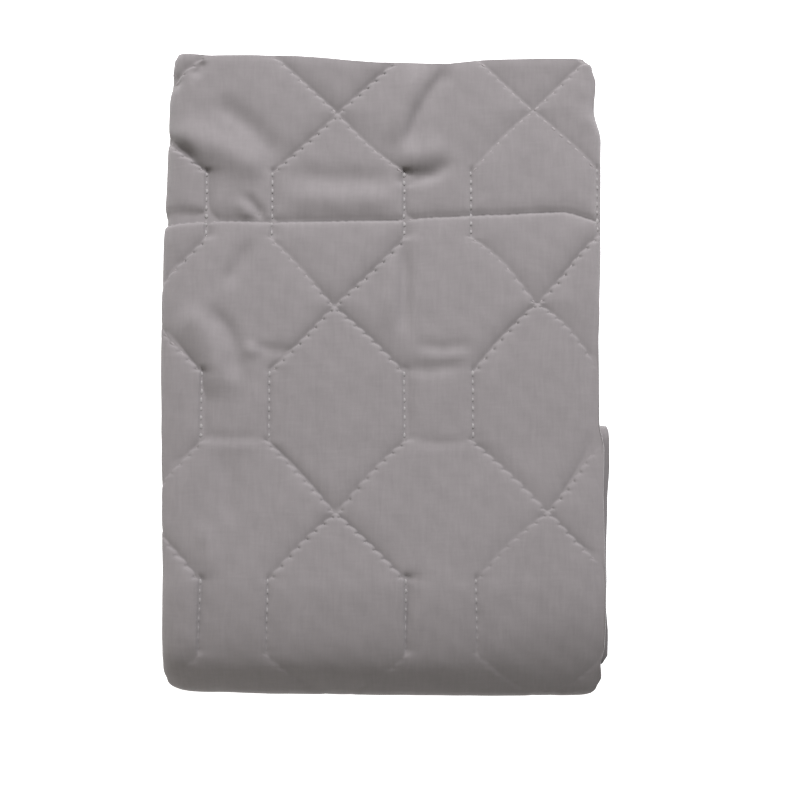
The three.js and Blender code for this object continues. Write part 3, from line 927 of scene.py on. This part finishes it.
def lay_beads(name, start, end, width, height, share, proud, sunk):
    """Beads from each start to its end, both given as (across, along) on the cloth."""
    (a0, l0), (a1, l1) = on_panel(start, end)
    uneven = np.random.default_rng(3).uniform(1 - UNEVEN_STITCH, 1 + UNEVEN_STITCH, (3, len(l0), 1))
    proud = proud - sunk * ramp(l0, *DEEPER) - ROLL_SUNK * ramp(l0, *ROLL_DEEPER)
    midway = (a0 + a1) / 2, (l0 + l1) / 2
    centre = on_surface(*midway, proud)
    reach = on_surface(a1, l1) - on_surface(a0, l0)
    run = unit(reach)
    side = unit(np.cross(on_surface(*midway, proud + 1) - centre, run))
    up = np.cross(run, side)

    data, ball = many_balls(name, len(centre))
    half_length = np.linalg.norm(reach, axis=1, keepdims=True) * share / 2 * uneven[0]
    half_width, half_height = width / 2 * uneven[1], height / 2
    centre = centre + side * (uneven[2] - 1)
    points = (
        centre[:, None]
        + ball[None, :, :1] * (run * half_length)[:, None]
        + ball[None, :, 1:2] * (side * half_width)[:, None]
        + ball[None, :, 2:] * up[:, None] * half_height
    )
    print(name, len(centre), "stitches,", len(data.polygons), "faces")
    return new_piece(data, points)


upright = lay_beads("upright_stitches", *repeated(UPRIGHT_ROWS),
                    width=2.1, height=1.0, share=0.62, proud=0, sunk=0.15)
slanting = lay_beads("slanting_stitches", *repeated(SLANTING_ROWS, UNDER_LIP),
                     width=1.8, height=0.9, share=0.62, proud=-0.15, sunk=0.25)
hem = lay_beads("hem_stitches", *hem_row,
                width=1.3, height=0.7, share=0.5, proud=-0.2, sunk=0)

# %% [markdown]
# ## Plain weave
#
# The cloth is a fine plain weave with slubs: threads that are thicker for a centimetre or two, lying
# both ways and more often along the case. An image would blur close by. Noise stretched one way gives
# slubs, and two sets of bands give threads. Both cloths need it, so it is a node group that reads the
# pattern's UV map and gives a tone and a height.

# %% A node group for the weave
THREADS = 900  # scale of the bands of thread, on a UV map in metres
LENGTHWISE, CROSSWISE, CLOUDY = (420, 60, 1), (75, 480, 1), (60, 45, 1)  # scales of noise
LENGTHWISE_SHARE, CROSSWISE_SHARE = 0.6, 0.4  # of the slubs
MOTTLING, THREAD_TONE, BASE_TONE = 0.12, 0.015, 0.99
SLUB_HEIGHT = 1.6  # against a height of 1 for the threads


def wire(node, inputs):
    """Sets a node's inputs, each to a value or to the output of another node."""
    for socket, value in inputs.items():
        if isinstance(value, bpy.types.NodeSocket):
            node.id_data.links.new(value, node.inputs[socket])
        else:
            node.inputs[socket].default_value = value


def new_node(tree, kind, inputs=None, **settings):
    node = tree.nodes.new("ShaderNode" + kind)
    for name, value in settings.items():
        setattr(node, name, value)
    wire(node, inputs or {})
    return node


def plain_weave():
    group = bpy.data.node_groups.new("plain weave", "ShaderNodeTree")
    group.interface.new_socket("Cloth", in_out="INPUT", socket_type="NodeSocketVector")
    for name, way in (("Slubs", "INPUT"), ("Tone", "OUTPUT"), ("Height", "OUTPUT")):
        group.interface.new_socket(name, in_out=way, socket_type="NodeSocketFloat")
    cloth, slub_strength = group.nodes.new("NodeGroupInput").outputs[:2]

    def stretched_noise(stretch):
        """Noise from 0 to 1, whose middle is 0.5."""
        stretched = new_node(group, "Mapping", {"Vector": cloth, "Scale": stretch}).outputs[0]
        settings = {"Scale": 1.0, "Detail": 2.0, "Roughness": 0.6, "Distortion": 0.9}
        return new_node(group, "TexNoise", {"Vector": stretched, **settings}).outputs["Fac"]

    def threads(direction):
        settings = {"Scale": THREADS, "Distortion": 0.6, "Detail Scale": 2.0}
        wave = new_node(group, "TexWave", {"Vector": cloth, **settings}, wave_type="BANDS",
                        bands_direction=direction)
        return wave.outputs["Fac"]

    def plus(a, b):
        return new_node(group, "Math", {0: a, 1: b}, operation="ADD").outputs[0]

    def times(a, b):
        return new_node(group, "Math", {0: a, 1: b}, operation="MULTIPLY").outputs[0]

    weave = times(threads("X"), threads("Y"))
    lengthwise = times(stretched_noise(LENGTHWISE), LENGTHWISE_SHARE)
    crosswise = times(stretched_noise(CROSSWISE), CROSSWISE_SHARE)
    slubs = times(plus(plus(lengthwise, crosswise), -0.5), slub_strength)
    mottled = times(plus(stretched_noise(CLOUDY), -0.5), MOTTLING)
    tone = plus(plus(plus(slubs, mottled), times(weave, THREAD_TONE)), BASE_TONE)
    height = plus(times(slubs, SLUB_HEIGHT), weave)
    wire(group.nodes.new("NodeGroupOutput"), {"Tone": tone, "Height": height})
    return group


weave_group = plain_weave()
print("node group:", weave_group.name, "with", len(weave_group.nodes), "nodes")

# %% [markdown]
# ## Cloth and thread
#
# The cloth is a matte warm grey. Its sheen is soft, because fine fibres stand up from it. Where it is
# turned under the stack it is painted a shade deeper, as painted shade. A second material would have
# a hard edge, so the finish reads from the UV map how far along the case it is, and deepens over the
# roll. The back panel's cloth is painted darker as well, as painted shade on its edges. The thread is
# a few steps lighter and a little smoother, and where it is sunk in it is painted near the cloth's
# tone, as painted shade.

# %% Finishes of the cloth and the thread
# painted shade: past these places along the pattern the cloth's colour is darkened, for the shade of
# the runs under the roll
PAINTED_SHADE_ALONG = 0.36, 0.39  # metres along the pattern: the shade changes over the roll
WEAVE_HEIGHT = 0.0002  # metres
THREAD_NOISE, THREAD_MOTTLING = 900.0, 0.15


def new_finish(name, settings):
    """A material, its tree and its shader."""
    material = bpy.data.materials.new(name)
    material.use_nodes = True
    shader = material.node_tree.nodes["Principled BSDF"]
    wire(shader, settings)
    return material, material.node_tree, shader


def cloth_finish(name, colour, roughness, sheen, painted_under_shade, slubs=0.3, bump=0.1):
    material, tree, shader = new_finish(name, {
        "Roughness": roughness, "Sheen Weight": sheen, "Sheen Roughness": 0.6,
        "Specular IOR Level": 0.2,
    })
    cloth = new_node(tree, "UVMap", uv_map="cloth").outputs["UV"]
    weave = new_node(tree, "Group", node_tree=weave_group)
    wire(weave, {"Cloth": cloth, "Slubs": slubs})
    along = new_node(tree, "SeparateXYZ", {0: cloth}).outputs["Y"]
    # painted shade: past the roll the colour is multiplied by the given share, for the shade of the
    # runs turned under
    start, end = PAINTED_SHADE_ALONG
    shade = {"From Min": start, "From Max": end, "To Min": 1, "To Max": painted_under_shade}
    under = new_node(tree, "MapRange", {"Value": along, **shade}, interpolation_type="SMOOTHSTEP")
    tones = {0: weave.outputs["Tone"], 1: under.outputs["Result"]}
    tone = new_node(tree, "Math", tones, operation="MULTIPLY").outputs[0]
    tint = new_node(tree, "VectorMath", {0: colour, "Scale": tone}, operation="SCALE")
    settings = {"Height": weave.outputs["Height"], "Strength": bump, "Distance": WEAVE_HEIGHT}
    raised = new_node(tree, "Bump", settings)
    wire(shader, {"Base Color": tint.outputs[0], "Normal": raised.outputs["Normal"]})
    return material


def thread_finish(name, colour):
    material, tree, shader = new_finish(name, {"Roughness": 0.7})
    spot = new_node(tree, "TexCoord").outputs["Object"]
    noise = new_node(tree, "TexNoise", {"Vector": spot, "Scale": THREAD_NOISE, "Detail": 2.0})
    tones = new_node(tree, "ValToRGB", {"Fac": noise.outputs["Fac"]})
    for element, factor in zip(tones.color_ramp.elements, (1 - THREAD_MOTTLING, 1 + THREAD_MOTTLING)):
        element.color = (*[part * factor for part in colour], 1)
    wire(shader, {"Base Color": tones.outputs["Color"]})
    return material


# painted shade: the slanting rows and the hem line have the same thread painted darker, for the shade
# under the lip
thread_in_painted_shade = thread_finish("thread in painted shade", (0.218, 0.199, 0.2))
for piece, finish in (
    # painted shade: the front panel's cloth is darkened to 0.72 past the roll
    (front, cloth_finish("warm grey cloth", (0.2, 0.185, 0.186), 0.92, 0.15, painted_under_shade=0.72)),
    # painted shade: the back panel's cloth is painted darker than the front's, for the shade on its
    # edges
    (back, cloth_finish("inner cloth in painted shade", (0.16, 0.147, 0.149), 0.94, 0.1, painted_under_shade=1)),
    (upright, thread_finish("pale thread", (0.235, 0.222, 0.22))),
    (slanting, thread_in_painted_shade),
    (hem, thread_in_painted_shade),
):
    piece.data.materials.append(finish)
    print(piece.name, "is made of", finish.name)

# %% [markdown]
# ## Attach the pieces
#
# Each panel replaces the plain solid of the same name. Both are sheets of cloth with a known flat
# size, and the stitches go with the front panel.

pieces = front, back, upright, slanting, hem
for piece in pieces:
    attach(piece, "root")
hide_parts("front_panel")
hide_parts("back_panel")
print(len(pieces), "pieces")

# %% [markdown]
# ## Floor, light and camera
#
# The bundle lies on a plain white floor under soft studio light. Most of the light comes from the far
# side and from above, so the roll at the near end falls into shade, and a weak, warm light from the
# near left softens it. The floor glows a little, so that no hard shadow lies beside the cloth. The
# camera looks straight down.

# %% Set the scene
bpy.ops.mesh.primitive_plane_add(size=6, location=(0, 0, 0))
floor = bpy.context.object
floor.name = "floor"
paper, _, _ = new_finish("white floor", {
    "Base Color": (0.95, 0.95, 0.95, 1), "Roughness": 0.9,
    "Emission Color": (1, 1, 1, 1), "Emission Strength": 1.0,
})
floor.data.materials.append(paper)

world = bpy.data.worlds.new("studio")
bpy.context.scene.world = world
world.use_nodes = True
wire(world.node_tree.nodes["Background"], {"Color": (1, 0.975, 0.91, 1), "Strength": 0.22})


def soft_light(name, stands, aim, size, power, colour):
    """An area light. Lengths are in metres, and power is in watts."""
    lamp = bpy.data.lights.new(name, "AREA")
    lamp.shape, lamp.size, lamp.size_y, lamp.energy = "RECTANGLE", size[0], size[1], power
    lamp.color = colour
    light = bpy.data.objects.new(name, lamp)
    light.location = stands
    light.rotation_euler = (Vector(aim) - Vector(stands)).to_track_quat("-Z", "Y").to_euler()
    bpy.context.collection.objects.link(light)


soft_light("window", stands=(0.26, 1.4, 1.24), aim=(0, 0, 0), size=(0.9, 0.6), power=65,
           colour=(0.97, 0.97, 1.0))
soft_light("room", stands=(-0.55, -0.42, 0.32), aim=(-0.1, -0.12, 0), size=(0.3, 0.3), power=0.7,
           colour=(1.0, 0.95, 0.85))

camera_data = bpy.data.cameras.new("camera")
camera_data.lens, camera_data.sensor_width = 50, 36
camera = bpy.data.objects.new("camera", camera_data)
camera.location = (0.0091, -0.0159, 0.672)
bpy.context.collection.objects.link(camera)
bpy.context.scene.camera = camera
bpy.context.scene.view_settings.view_transform = "Standard"
print("camera at", tuple(camera.location))
